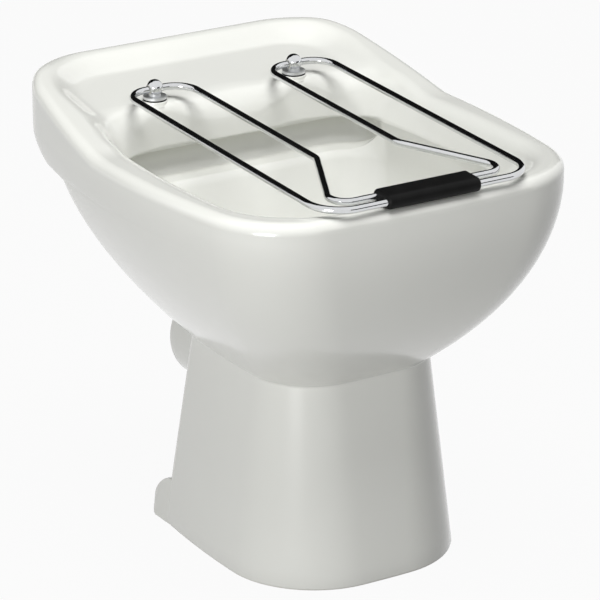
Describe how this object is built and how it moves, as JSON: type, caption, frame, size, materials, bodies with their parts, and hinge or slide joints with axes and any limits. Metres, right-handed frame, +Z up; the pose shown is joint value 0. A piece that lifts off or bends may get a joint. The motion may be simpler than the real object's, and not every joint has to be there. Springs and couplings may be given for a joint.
{
  "type": "slop hopper with bucket grate",
  "caption": "Floor-standing white china slop hopper with a deep funnel bowl, a raised rear deck, a rear waste spigot and a hinged chrome bucket grate with a rubber pad.",
  "frame": {"origin": "on the floor under the middle of the bounding box", "axes": "+Z up, -Y to the front of the bowl, +Y to the wall, X across; X = 0 is the plane of symmetry"},
  "size_m": [0.404, 0.484, 0.44],
  "materials": {
    "china": "gloss glaze",
    "chrome": "polished",
    "black_rubber": "matt",
    "nylon": "natural",
    "brass": "turned"
  },
  "bodies": {
    "pan": {"pan": "china", "hinge_post_left": "chrome", "hinge_bush_left": "nylon", "post_gasket_left": "black_rubber", "post_plug_left": "black_rubber", "wedge_nut_left": "brass", "hinge_post_right": "chrome", "hinge_bush_right": "nylon", "post_gasket_right": "black_rubber", "post_plug_right": "black_rubber", "wedge_nut_right": "brass"},
    "grate": {"grate_rod": "chrome", "grip_pad": "black_rubber"}
  },
  "joints": [
    {"name": "grate_hinge", "type": "hinge", "parent": "pan", "child": "grate", "pos_m": [0, 0.13, 0.4255], "axis": [-1, 0, 0], "range_deg": [0, 105]}
  ]
}
